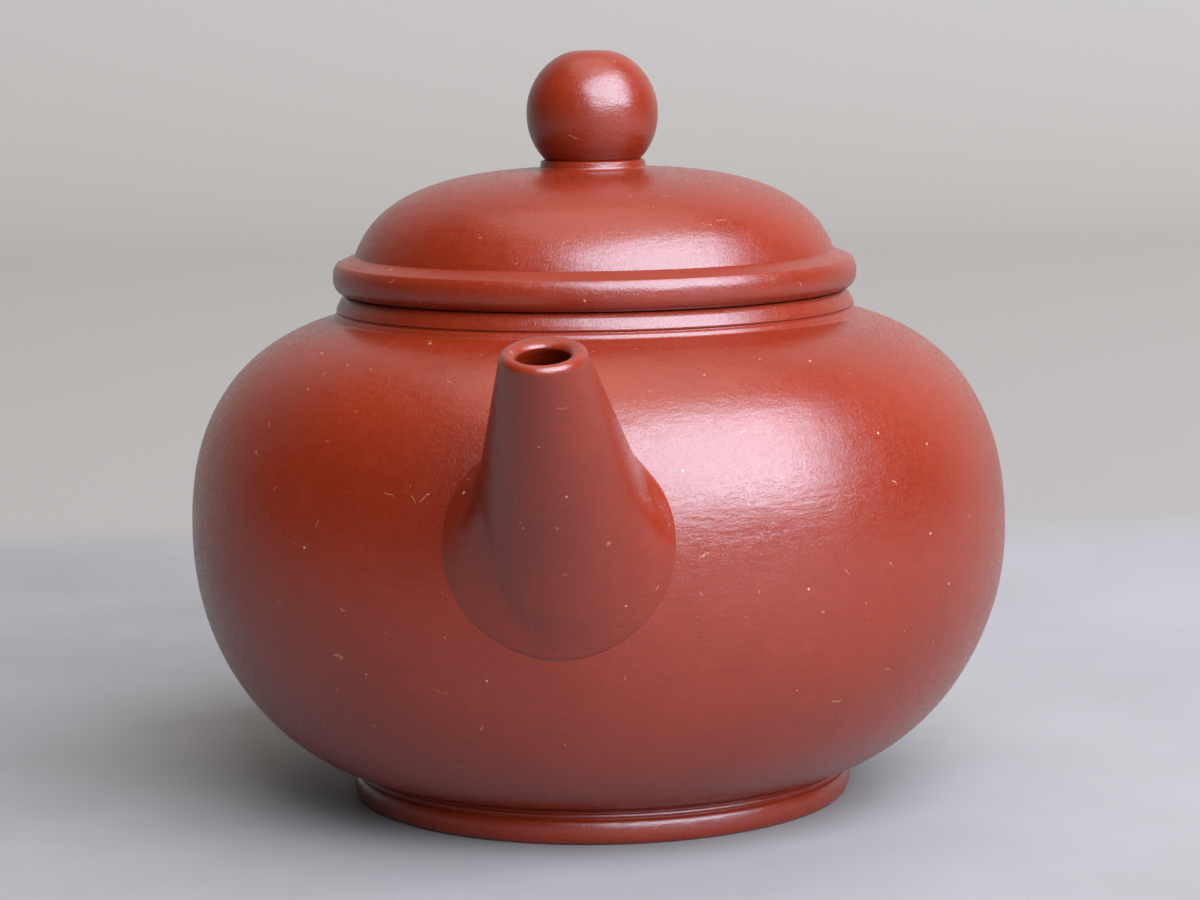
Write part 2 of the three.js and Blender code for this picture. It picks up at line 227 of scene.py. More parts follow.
def arc_corner(before, corner, after, radius):
    """A corner of an outline, rounded by an arc that touches both its sides."""
    a, b = before - corner, after - corner
    reach = CORNER_SHARE * min(np.linalg.norm(a), np.linalg.norm(b))
    a, b = a / np.linalg.norm(a), b / np.linalg.norm(b)
    half = math.acos(np.clip(a @ b, -1, 1)) / 2
    radius = min(radius, reach * math.tan(half))
    centre = corner + (a + b) / np.linalg.norm(a + b) * radius / math.sin(half)
    start = corner + a * radius / math.tan(half) - centre
    turn = math.pi - 2 * half
    side = 1 if start[0] * (corner - centre)[1] - start[1] * (corner - centre)[0] > 0 else -1
    angles = np.linspace(0, turn, max(4, int(turn / ARC_STEP) + 2)) * side
    cos, sin = np.cos(angles), np.sin(angles)
    return centre + np.stack([start[0] * cos - start[1] * sin, start[0] * sin + start[1] * cos], 1)


def stretches(items):
    """Smooth stretches of a closed outline.

    An item is a whole curve, (r, z, radius) for a rounded corner, or (r, z) for a sharp one,
    where a stretch ends. The first item is a sharp corner.
    """
    items = [np.atleast_2d(np.array(item, float)) for item in [*items, items[0]]]
    done, current = [], None
    for k, item in enumerate(items):
        if item.shape[0] == 1 and item.shape[1] == 3:
            corner = arc_corner(items[k - 1][-1][:2], item[0][:2], items[k + 1][0][:2], item[0][2])
            current = np.vstack([current, corner])
        elif item.shape[0] == 1:
            if current is not None:
                done.append(np.vstack([current, item]))
            current = item
        else:
            current = item if current is None else np.vstack([current, item])
    return [without_repeats(line) for line in done]


def without_repeats(line):
    """The same line, with one point where several are in the same place."""
    keep = np.concatenate([[True], np.linalg.norm(np.diff(line, axis=0), axis=1) > 1e-5])
    return line[keep]


# ------------------------------------------------------------ meshes from rings of points


def turn_round(line, around=AROUND):
    """The rings that an outline leaves when it is turned about the pot's axis."""
    angle = circle(around)
    grid = np.empty((len(line), around, 3))
    grid[:, :, 0] = line[:, :1] * np.cos(angle)
    grid[:, :, 1] = line[:, :1] * np.sin(angle)
    grid[:, :, 2] = line[:, 1:2]
    return grid


def grid_normals(grid):
    """The directions out of a surface at each point of its rings."""
    up = np.gradient(grid, axis=0, edge_order=2 if len(grid) > 2 else 1)
    round_ = np.roll(grid, -1, axis=1) - np.roll(grid, 1, axis=1)
    normal = np.cross(round_, up)
    size = np.linalg.norm(normal, axis=2, keepdims=True)
    return normal / np.maximum(size, 1e-12)


def linked(name, data):
    """A new object in the scene."""
    obj = bpy.data.objects.new(name, data)
    bpy.context.scene.collection.objects.link(obj)
    return obj


def smooth(data):
    data.polygons.foreach_set("use_smooth", [True] * len(data.polygons))


def plain_mesh(name, vertices, faces, unit=MM):
    """A mesh with flat faces."""
    data = bpy.data.meshes.new(name)
    data.from_pydata((np.asarray(vertices) * unit).tolist(), [], [list(face) for face in faces])
    data.update()
    return linked(name, data)


def mesh(name, vertices, faces, normals):
    """A smooth mesh whose shading is given, as a direction for each corner of each face."""
    obj = plain_mesh(name, vertices, faces)
    smooth(obj.data)
    obj.data.normals_split_custom_set(normals)
    return obj


def skin(name, grids, closed=True, kept=None, extra=None):
    """One mesh from grids of rings, where each grid starts on the last ring of the one before.

    The edge between two grids is crisp, and the surface inside a grid is smooth. A closed skin's
    last ring is its first. An open one ends in a flat face at each end. kept holds, for a grid's
    number, which of its faces stay, and extra is more faces and their directions.
    """
    around = grids[0].shape[1]
    rings = np.concatenate([grids[0], *(grid[1:] for grid in grids[1:])])
    rings = rings[:-1] if closed else rings
    column = np.arange(around)
    after = np.roll(column, -1)
    faces, normals = [], []
    ring = 0
    for number, grid in enumerate(grids):
        normal = grid_normals(grid)
        for i in range(len(grid) - 1):
            low = ring * around
            high = (ring + 1) % len(rings) * around
            face = np.stack([low + column, low + after, high + after, high + column], 1)
            corner = np.stack([normal[i], normal[i, after], normal[i + 1, after], normal[i + 1]], 1)
            if kept and number in kept:
                face, corner = face[kept[number][i]], corner[kept[number][i]]
            faces += face.tolist()
            normals += corner.reshape(-1, 3).tolist()
            ring += 1
    if not closed:
        for end, order in ((rings[0], column[::-1]), (rings[-1], column)):
            out = np.cross(end[order[1]] - end[order[0]], end[order[2]] - end[order[1]])
            faces.append((order + (ring * around if order[0] == 0 else 0)).tolist())
            normals += [(out / np.linalg.norm(out)).tolist()] * around
    if extra:
        faces += extra[0]
        normals += extra[1]
    return mesh(name, rings.reshape(-1, 3), faces, normals)


def turned(name, items, around=AROUND, bend=None):
    """A turned piece, from the closed outline of its section."""
    grids = [turn_round(line, around) for line in stretches(items)]
    return skin(name, [bend(grid) for grid in grids] if bend else grids)


# ------------------------------------------------------------ the pot's outside as a surface


def hand_beaten(grid):
    """Moves points of the shell in and out by up to a tenth of a millimetre, in soft swells."""
    angle = np.arctan2(grid[..., 1], grid[..., 0])
    height = grid[..., 2]
    swell = 0
    for depth, waves, twist, start in SWELLS:
        swell = swell + depth * np.sin(waves * angle + twist * height + start)
    fade = np.clip((height - FOOT_TOP) / SWELL_FADE, 0, 1)
    fade = fade * np.clip((NECK_BASE - height) / SWELL_FADE, 0, 1)
    moved = grid.copy()
    moved[..., 0] += swell * fade * np.cos(angle)
    moved[..., 1] += swell * fade * np.sin(angle)
    return moved


def nearest_on_shell(points):
    """The nearest places on the pot's outside, and the directions out of it there."""
    points = np.asarray(points, float)
    radius = np.hypot(points[:, 0], points[:, 1])
    flat = np.stack([radius, points[:, 2]], 1)
    starts, steps = SHELL[:-1], np.diff(SHELL, axis=0)
    share = ((flat[:, None] - starts) * steps).sum(2) / (steps ** 2).sum(1)
    share = np.clip(share, 0, 1)
    places = starts + share[..., None] * steps
    best = ((flat[:, None] - places) ** 2).sum(2).argmin(1)
    row = np.arange(len(points))
    place, part = places[row, best], share[row, best][:, None]
    out = SHELL_OUT[best] * (1 - part) + SHELL_OUT[best + 1] * part
    out /= np.linalg.norm(out, axis=1, keepdims=True)
    turn = np.stack([points[:, 0], points[:, 1]], 1) / radius[:, None]
    on = np.column_stack([turn * place[:, :1], place[:, 1]])
    outward = np.column_stack([turn * out[:, :1], out[:, 1]])
    return on, outward


def height_over_shell(points):
    """How far points are outside the pot, measured level, which is enough to find a crossing."""
    radius = np.hypot(points[..., 0], points[..., 1])
    return radius - np.interp(points[..., 2], SHELL[:, 1], SHELL[:, 0])


def rooted(lines, blend, lift, landing=None, spread=0.0, steps=16):
    """Ends lines of points, which run down into the pot, with a foot on its outside.

    lines is (points, lines, 3). Each line stops a blend's length above the pot and curves out to
    its landing, or to a place a spread's length from where it would have gone in. With no lift
    it lands flat on the pot, and with some it leaves a corner. Returns the free stretches, the
    grid of feet, and the directions out of the pot at the feet's ends.
    """
    number = lines.shape[1]
    over = height_over_shell(lines)
    entry = np.empty((number, 3))
    leave = np.empty((number, 3))
    free = []
    for j in range(number):
        k = np.nonzero(over[:, j] < 0)[0][0]
        share = over[k - 1, j] / (over[k - 1, j] - over[k, j])
        entry[j] = lines[k - 1, j] + share * (lines[k, j] - lines[k - 1, j])
        until = np.vstack([lines[:k, j], entry[j]])
        along = np.concatenate([[0], np.cumsum(np.linalg.norm(np.diff(until, axis=0), axis=1))])
        stop = along[-1] - blend[j]
        leave[j] = [np.interp(stop, along, until[:, c]) for c in range(3)]
        free.append(np.vstack([until[along < stop - 1e-6], leave[j]]))
    if landing is None:
        outward = nearest_on_shell(entry)[1]
        aside = entry - entry.mean(0)
        aside -= (aside * outward).sum(1, keepdims=True) * outward
        aside /= np.linalg.norm(aside, axis=1, keepdims=True)
        landing = entry + aside * spread
    landing, landing_out = nearest_on_shell(landing)
    landing = hand_beaten(landing)
    control = entry - ((entry - landing) * landing_out).sum(1, keepdims=True) * landing_out
    control += landing_out * np.reshape(lift, (-1, 1))
    first = leave + (entry - leave) * LEAVING_PULL
    second = landing + (control - landing) * LANDING_PULL
    t = np.linspace(0, 1, steps)[:, None, None]
    feet = (1 - t) ** 3 * leave + 3 * t * (1 - t) ** 2 * first
    feet += 3 * t ** 2 * (1 - t) * second + t ** 3 * landing
    tucked = landing + (landing - control) * TUCK - landing_out * TUCK_DEPTH
    return free, np.concatenate([feet, tucked[None]]), landing_out


def even_grid(free, rings):
    """Lines of unequal lengths, as one grid with equal numbers of points."""
    return np.stack([evenly(line, count=rings) for line in free], 1)


# ------------------------------------------------------------ shell of the pot


def body_wall():
    outside = evenly(between(SHELL, FLOOR, SHOULDER_SPLIT), count=WALL_RINGS)
    inside = evenly(between(SHELL_INSIDE, FLOOR, SHOULDER_SPLIT), count=WALL_RINGS)
    centre = int(np.abs(outside[:, 1] - PASSAGE_HEIGHT).argmin())
    ring_step = np.linalg.norm(outside[1] - outside[0])
    column_step = 2 * math.pi * BELLY_RADIUS / AROUND
    half_columns = HOLE_HALF_COLUMNS
    half_rings = int(round(half_columns * column_step / ring_step))
    column = (np.arange(AROUND)[None, :] + AROUND // 2) % AROUND - AROUND // 2

    def grid_with_round_hole(line):
        """Points round the passage are moved so that a square of faces becomes a round hole."""
        ring = np.arange(WALL_RINGS)[:, None] - centre
        u = ring / half_rings + 0.0 * column
        v = column / half_columns + 0.0 * ring
        square = np.maximum(np.abs(u), np.abs(v))
        size = np.maximum(np.hypot(u, v), 1e-9)
        weight = eased(np.clip((HOLE_REACH - square) / HOLE_FADE, 0, 1))
        scale = 1 + weight * (square / size * PASSAGE_RADIUS / (half_columns * column_step) - 1)
        place = np.clip(centre + u * scale * half_rings, 0, WALL_RINGS - 1)
        angle = v * scale * half_columns * 2 * math.pi / AROUND
        index = np.arange(WALL_RINGS)
        radius = np.interp(place, index, line[:, 0])
        height = np.interp(place, index, line[:, 1])
        return np.stack([radius * np.cos(angle), radius * np.sin(angle), height], 2)

    out_grid = hand_beaten(grid_with_round_hole(outside))
    in_grid = hand_beaten(grid_with_round_hole(inside))
    top = np.stack([out_grid[-1], in_grid[-1]])
    bottom = np.stack([in_grid[0], out_grid[0]])

    # The faces of the square are left out, and a band joins its edges outside and inside.
    ring = np.arange(WALL_RINGS - 1)[:, None] - centre
    whole = (ring < -half_rings) | (ring >= half_rings)
    whole = whole | (column < -half_columns) | (column >= half_columns)
    low, high = centre - half_rings, centre + half_rings
    columns = range(-half_columns, half_columns)
    edge = [(low, j) for j in columns]
    edge += [(i, half_columns) for i in range(low, high)]
    edge += [(high, -j) for j in columns]
    edge += [(i, -half_columns) for i in range(high, low, -1)]
    faces, normals = [], []
    for (i, j), (i2, j2) in zip(edge, edge[1:] + edge[:1]):
        a, b, a_in = out_grid[i, j], out_grid[i2, j2], in_grid[i, j]
        normal = np.cross(b - a, a_in - a)
        outer = (i * AROUND + j % AROUND, i2 * AROUND + j2 % AROUND)
        inner = tuple((2 * WALL_RINGS - 1 - n // AROUND) * AROUND + n % AROUND for n in outer)
        faces.append((outer[0], outer[1], inner[1], inner[0]))
        normals += [(normal / np.linalg.norm(normal)).tolist()] * 4
    grids = [out_grid, top, in_grid[::-1], bottom]
    return skin("body_wall", grids, kept={0: whole, 2: whole[::-1]}, extra=(faces, normals))


def shoulder_disc():
    underside = NECK_BASE - WALL
    outside = evenly(between(SHELL, SHOULDER_SPLIT, NECK_BASE), step=0.5)
    inside = evenly(between(SHELL_INSIDE, SHOULDER_SPLIT, underside), step=0.6)[::-1]
    return turned("shoulder_disc", [
        tuple(outside[0]),
        outside[1:-1],
        tuple(outside[-1]),
        (MOUTH_RADIUS, NECK_BASE),
        (MOUTH_RADIUS, underside, 0.7),
        inside[:-1],
        tuple(inside[-1]),
    ], bend=hand_beaten)


def base_disc():
    edge = evenly(between(SHELL, FOOT_TOP, FLOOR), step=0.5)
    underside = np.array([(0.01, FOOT_TOP + 0.3), (12, FOOT_TOP + 0.25), tuple(edge[0])])
    underside = evenly(underside, step=1.2)
    top = evenly(np.array([tuple(edge[-1]), (0.01, FLOOR)]), step=1.2)
    grids = [hand_beaten(turn_round(line)) for line in (underside, edge, top)]
    return skin("base_disc", grids, closed=False)


def neck_collar():
    cove = bezier(
        (SHOULDER_RADIUS - 0.05, NECK_BASE),
        (NECK_RADIUS + 1.05, NECK_BASE + 0.12),
        (NECK_RADIUS + 0.85, NECK_BASE + 0.20),
        (NECK_RADIUS + 0.74, NECK_BASE + 0.42),
        9,
    )
    return turned("neck_collar", [
        (MOUTH_RADIUS, NECK_BASE),
        (SHOULDER_RADIUS - 0.05, NECK_BASE),
        cove[1:],
        (NECK_RADIUS + 0.60, NECK_BASE + 0.66, 0.2),
        (NECK_RADIUS + 0.30, NECK_BASE + 0.90, 0.08),
        (NECK_RADIUS + 0.50, NECK_BASE + 1.12, 0.2),
        (NECK_RADIUS + 0.34, NECK_BASE + 1.60, 1.2),
        (NECK_RADIUS - 0.05, NECK_TOP - 0.5, 0.5),
        (NECK_RADIUS - 0.45, NECK_TOP, 0.35),
        (MOUTH_RADIUS, NECK_TOP, 0.4),
    ])


def foot_ring():
    bead = bezier(
        (FOOT_TOP_RADIUS - 0.3, 0.0),
        (FOOT_TOP_RADIUS + 0.75, 0.1),
        (FOOT_TOP_RADIUS + 0.75, FOOT_TOP - 1.25),
        (FOOT_TOP_RADIUS + 0.12, FOOT_TOP - 1.05),
        24,
    )
    return turned("foot_ring", [
        (FOOT_INNER_RADIUS, FOOT_TOP),
        (FOOT_INNER_RADIUS, 0.9, 0.5),
        (FOOT_INNER_RADIUS + 1.0, 0.0, 0.7),
        bead,
        (FOOT_TOP_RADIUS - 0.02, FOOT_TOP - 0.92, 0.08),
        (FOOT_TOP_RADIUS + 0.30, FOOT_TOP - 0.72, 0.18),
        (FOOT_TOP_RADIUS + 0.22, FOOT_TOP - 0.45, 0.15),
        (FOOT_TOP_RADIUS + 0.02, FOOT_TOP - 0.30, 0.15),
        (FOOT_TOP_RADIUS + 0.55, FOOT_TOP + 0.10),
    ])


# ------------------------------------------------------------ spout and strainer


def spout():
    axis = SPOUT_MOUTH - SPOUT_ROOT
    axis /= np.linalg.norm(axis)
    up = np.array([-axis[2], 0, axis[0]])
    side = np.array([0.0, 1.0, 0.0])
    normal = np.array([math.sin(SPOUT_MOUTH_TILT), 0, math.cos(SPOUT_MOUTH_TILT)])
    angle = circle(SMALL_AROUND)
    spoke = np.cos(angle)[:, None] * up + np.sin(angle)[:, None] * side
    spoke_normal = spoke @ normal
    lip = (SPOUT_MOUTH_RADIUS - SPOUT_BORE_RADIUS) / 2 * SPOUT_LIP_ROUNDING

    def at_mouth(radius, taper):
        """Where a cone round the spout's axis meets the plane of the mouth."""
        distance = radius * spoke_normal / (axis @ normal - taper * spoke_normal)
        return SPOUT_MOUTH - distance[:, None] * axis + (radius + taper * distance)[:, None] * spoke

    outer_edge = at_mouth(SPOUT_MOUTH_RADIUS, SPOUT_TAPER) - normal * lip
    slope = SPOUT_TAPER * spoke - axis
    slope /= np.linalg.norm(slope, axis=1, keepdims=True)
    reach = np.linspace(0, 45, 181)[:, None, None]
    lines = outer_edge + reach * slope

    landing = np.stack([
        np.full(SMALL_AROUND, BELLY_RADIUS),
        SPOUT_FOOT_HALF_WIDTH * np.sin(angle) + SPOUT_FOOT_ASIDE,
        SPOUT_FOOT_CENTRE + SPOUT_FOOT_HALF_HEIGHT * np.cos(angle),
    ], 1)
    lower = eased(np.clip((SPOUT_LOWER_FROM - np.cos(angle)) / SPOUT_LOWER_OVER, 0, 1))
    under = np.clip(-np.cos(angle), 0, 1)
    blend = SPOUT_BLEND + SPOUT_BLEND_LOWER * lower - SPOUT_BLEND_UNDER * under ** 3
    lift = SPOUT_LIFT + SPOUT_LIFT_LOWER * lower - SPOUT_LIFT_UNDER * under ** 2
    free, feet, out = rooted(lines, blend, lift, landing)
    barrel = even_grid(free, 60)

    inner_edge = at_mouth(SPOUT_BORE_RADIUS, 0.0) - normal * lip
    turn = np.linspace(0, math.pi, 15)[:, None, None]
    middle = (outer_edge + inner_edge) / 2
    rounding = middle + (inner_edge - outer_edge) / 2 * np.cos(turn) + normal * lip * np.sin(turn)

    hole = np.stack([
        np.full(SMALL_AROUND, BELLY_RADIUS - 1.0),
        PASSAGE_RADIUS * np.sin(angle),
        PASSAGE_HEIGHT + PASSAGE_RADIUS * np.cos(angle),
    ], 1)
    on, hole_out = nearest_on_shell(hole)
    hole = on - hole_out * 0.4
    share = np.linspace(0, 1, 40)[:, None, None]
    bore = hole + (inner_edge - hole) * share
    sunk = feet[-1] - out * 0.5
    whole = np.concatenate([bore, rounding[1:], barrel[1:], feet[1:]])
    return skin("spout", [whole, np.stack([feet[-1], sunk]), np.stack([sunk, hole])])


def strainer_holes():
    """The points and faces of the drills that make the strainer's holes."""
    vertices, faces = [], []
    sides = STRAINER_HOLE_SIDES
    for spread, count in STRAINER_HOLES:
        for i in range(count):
            turn = 2 * math.pi * i / count
            tilt = math.radians(spread)
            along = np.array([
                -math.cos(tilt), math.sin(tilt) * math.sin(turn), math.sin(tilt) * math.cos(turn),
            ])
            # Square to the drill, by way of a direction that none of the drills has.
            across = np.cross(along, [0.3, 0.8, 0.52])
            across /= np.linalg.norm(across)
            other = np.cross(along, across)
            first = len(vertices)
            for distance in (1.0, STRAINER_RADIUS + 2.0):
                for k in range(sides):
                    a = 2 * math.pi * k / sides
                    ring = STRAINER_HOLE_RADIUS * (math.cos(a) * across + math.sin(a) * other)
                    vertices.append(STRAINER_CENTRE + distance * along + ring)
            faces.append(list(range(first + sides - 1, first - 1, -1)))
            faces.append(list(range(first + sides, first + 2 * sides)))
            for k in range(sides):
                n = (k + 1) % sides
                faces.append((first + k, first + n, first + sides + n, first + sides + k))
    return vertices, faces


def spout_strainer():
    """A drilled dome of clay over the passage, on the inside of the wall."""
    tilt = np.linspace(0.02, math.radians(99), 44)

    def dome(radius):
        angle = circle(SMALL_AROUND)
        grid = np.empty((len(tilt), SMALL_AROUND, 3))
        grid[..., 0] = STRAINER_CENTRE[0] - radius * np.cos(tilt)[:, None]
        grid[..., 1] = STRAINER_CENTRE[1] + radius * np.sin(tilt)[:, None] * np.sin(angle)
        grid[..., 2] = STRAINER_CENTRE[2] + radius * np.sin(tilt)[:, None] * np.cos(angle)
        return grid

    outer, inner = dome(STRAINER_RADIUS), dome(STRAINER_RADIUS - STRAINER_WALL)
    grids = [outer, inner[::-1]]
    vertices = np.vstack([g.reshape(-1, 3) for g in grids])
    total = 2 * len(tilt)
    faces = []
    for i in range(total - 1):
        for j in range(SMALL_AROUND):
            k = (j + 1) % SMALL_AROUND
            a, b = i * SMALL_AROUND, (i + 1) * SMALL_AROUND
            faces.append((a + j, a + k, b + k, b + j))
    last = (total - 1) * SMALL_AROUND
    faces.append(list(range(SMALL_AROUND - 1, -1, -1)))
    faces.append([last + j for j in range(SMALL_AROUND)])
    obj = plain_mesh("spout_strainer", vertices, faces)
    cut(obj, plain_mesh("strainer_drills", *strainer_holes()))
    return obj


def cut(obj, tool):
    """Takes one mesh out of another, and keeps the edges of the cut sharp."""
    modifier = obj.modifiers.new("cut", "BOOLEAN")
    modifier.operation = "DIFFERENCE"
    modifier.solver = "EXACT"
    modifier.object = tool
    graph = bpy.context.evaluated_depsgraph_get()
    result = bpy.data.meshes.new_from_object(obj.evaluated_get(graph))
    obj.modifiers.clear()
    obj.data = result
    result.name = obj.name
    bpy.data.objects.remove(tool)
    smooth(result)
    result.set_sharp_from_angle(angle=SHARP_EDGE)


# ------------------------------------------------------------ handle

HANDLE_LINE = np.array([
    (-35.0, 45.5), (-43.0, 50.4), (-51.5, 51.4), (-58.2, 46.6),
    (-60.0, 38.0), (-57.2, 29.0), (-50.6, 22.2), (-40.0, 17.6),
])
HANDLE_TOP = (3.5, 4.7)           # half sizes at the upper root: in the loop's plane, and across it
HANDLE_END = (2.6, 3.4)           # half sizes at the lower root
HANDLE_BLEND = 3.0                # length over which the handle curves out into a root
HANDLE_LIFT = 0.3                 # a soft corner where a root ends
HANDLE_TOP_SPREAD = 2.4           # how far each root spreads round the handle
HANDLE_END_SPREAD = 2.0
HANDLE_RINGS = 70                 # rings of points in each half of the loop
HANDLE_DEPTH = 0.8                # how far the handle's ends reach into the pot's wall
RUN_ON = 0.8                      # how far its line goes on past the ends, in their last steps


def smooth_through(points, steps):
    """A centripetal Catmull-Rom curve through the points, run straight on at both ends."""
    ends = [2 * points[0] - points[1], *points, 2 * points[-1] - points[-2]]
    line = [points[0] + (points[0] - points[1]) * RUN_ON]
    for a, b, c, d in zip(ends, ends[1:], ends[2:], ends[3:]):
        gaps = [math.sqrt(np.linalg.norm(q - p)) for p, q in ((a, b), (b, c), (c, d))]
        k0, k1, k2, k3 = np.cumsum([0, *gaps])
        for t in np.linspace(k1, k2, steps, endpoint=False):
            ab = a + (b - a) * (t - k0) / (k1 - k0)
            bc = b + (c - b) * (t - k1) / (k2 - k1)
            cd = c + (d - c) * (t - k2) / (k3 - k2)
            abc = ab + (bc - ab) * (t - k0) / (k2 - k0)
            bcd = bc + (cd - bc) * (t - k1) / (k3 - k1)
            line.append(abc + (bcd - abc) * (t - k1) / (k2 - k1))
    line.append(points[-1])
    line.append(points[-1] + (points[-1] - points[-2]) * RUN_ON)
    return np.array(line)


def handle():
    line = evenly(smooth_through(HANDLE_LINE, 24), step=0.25)
    along = directions(line)
    share = np.linspace(0, 1, len(line))[:, None]
    thickness = HANDLE_TOP[0] + (HANDLE_END[0] - HANDLE_TOP[0]) * share
    width = HANDLE_TOP[1] + (HANDLE_END[1] - HANDLE_TOP[1]) * share
    angle = circle(SMALL_AROUND)
    rings = np.empty((len(line), SMALL_AROUND, 3))
    rings[..., 0] = line[:, :1] - along[:, 1:] * thickness * np.cos(angle)
    rings[..., 1] = width * np.sin(angle)
    rings[..., 2] = line[:, 1:] + along[:, :1] * thickness * np.cos(angle)
    middle = len(line) // 2
    blend = np.full(SMALL_AROUND, HANDLE_BLEND)
    top_free, top_feet, top_out = rooted(
        rings[middle::-1], blend, HANDLE_LIFT, spread=HANDLE_TOP_SPREAD)
    end_free, end_feet, end_out = rooted(
        rings[middle:], blend, HANDLE_LIFT, spread=HANDLE_END_SPREAD)
    top_half = np.concatenate([even_grid(top_free, HANDLE_RINGS), top_feet[1:]])
    end_half = np.concatenate([even_grid(end_free, HANDLE_RINGS), end_feet[1:]])
    loop = np.concatenate([top_half[::-1], end_half[1:]])
    first = np.stack([loop[0] - top_out * HANDLE_DEPTH, loop[0]])
    last = np.stack([loop[-1], loop[-1] - end_out * HANDLE_DEPTH])
    return skin("handle", [first, loop, last], closed=False)


# ------------------------------------------------------------ lid

EDGE_RADIUS = RIM_RADIUS - 0.45
EDGE_HEIGHT = DOME_FOOT - 0.8


def lid_dome():
    outside = bezier(
        (DOME_FOOT_RADIUS, DOME_FOOT),
        (24.1, DOME_FOOT + 4.7),
        (19.3, DOME_TOP - 0.25),
        (STEP_RADIUS, DOME_TOP),
        90,
    )
    # The inside leaves out its first points, so that it starts clear of the corner at its foot.
    inside = inwards(outside, LID_WALL)[8:][::-1]
    return turned("lid_dome", [
        (FLANGE_INNER_RADIUS, DOME_FOOT),
        tuple(outside[0]),
        outside[1:-1],
        tuple(outside[-1]),
        (VENT_RADIUS, DOME_TOP),
        (VENT_RADIUS, DOME_TOP - LID_WALL, 0.3),
        inside,
    ])


def lid_rim():
    under = bezier(
        (NECK_RADIUS - 0.7, LID_BASE),
        (NECK_RADIUS + 0.35, LID_BASE + 0.05),
        (RIM_RADIUS, LID_BASE + 0.75),
        (RIM_RADIUS, LID_BASE + 1.75),
        22,
    )
    face = bezier(
        (RIM_RADIUS, LID_BASE + 1.75),
        (RIM_RADIUS, LID_BASE + 2.4),
        (RIM_RADIUS - 0.12, LID_BASE + 2.85),
        (EDGE_RADIUS, EDGE_HEIGHT),
        14,
    )
    return turned("lid_rim", [
        (FLANGE_INNER_RADIUS, LID_BASE),
        (FLANGE_RADIUS, LID_BASE),
        under,
        face[1:-1],
        (EDGE_RADIUS, EDGE_HEIGHT, 0.2),
        (DOME_FOOT_RADIUS + 0.35, DOME_FOOT - 0.12, 0.4),
        (DOME_FOOT_RADIUS, DOME_FOOT),
        (FLANGE_INNER_RADIUS, DOME_FOOT),
    ])


def lid_flange():
    return turned("lid_flange", [
        (FLANGE_INNER_RADIUS, LID_BASE),
        (FLANGE_INNER_RADIUS + 0.3, FLANGE_BOTTOM, 0.6),
        (FLANGE_RADIUS - 0.15, FLANGE_BOTTOM, 0.6),
        (FLANGE_RADIUS, LID_BASE),
    ])


def knob_collar():
    flare = bezier(
        (KNOB_NECK_RADIUS + 1.25, DOME_TOP),
        (KNOB_NECK_RADIUS + 0.8, DOME_TOP + 0.03),
        (KNOB_NECK_RADIUS + 0.6, DOME_TOP + 0.12),
        (KNOB_NECK_RADIUS + 0.55, DOME_TOP + 0.4),
        8,
    )
    return turned("knob_collar", [
        (VENT_RADIUS, DOME_TOP),
        tuple(flare[0]),
        flare[1:],
        (KNOB_NECK_RADIUS + 0.5, KNOB_BASE - 0.12, 0.12),
        (KNOB_NECK_RADIUS + 0.2, KNOB_BASE),
        (VENT_RADIUS, KNOB_BASE),
    ], SMALL_AROUND)


def knob():
    lower = bezier(
        (KNOB_NECK_RADIUS, KNOB_BASE),
        (KNOB_NECK_RADIUS + 1.3, KNOB_BASE + 1.3),
        (KNOB_RADIUS, KNOB_WIDEST - 2),
        (KNOB_RADIUS, KNOB_WIDEST),
        24,
    )
    upper = bezier(
        (KNOB_RADIUS, KNOB_WIDEST),
        (KNOB_RADIUS, KNOB_WIDEST + 3.7),
        (4.1, KNOB_TOP),
        (VENT_RADIUS + 0.5, KNOB_TOP),
        36,
    )
    return turned("knob", [
        (VENT_RADIUS, KNOB_BASE),
        tuple(lower[0]),
        lower[1:],
        upper[1:],
        (VENT_RADIUS, KNOB_TOP - 0.05, 0.3),
    ], SMALL_AROUND)


# ------------------------------------------------------------ clay


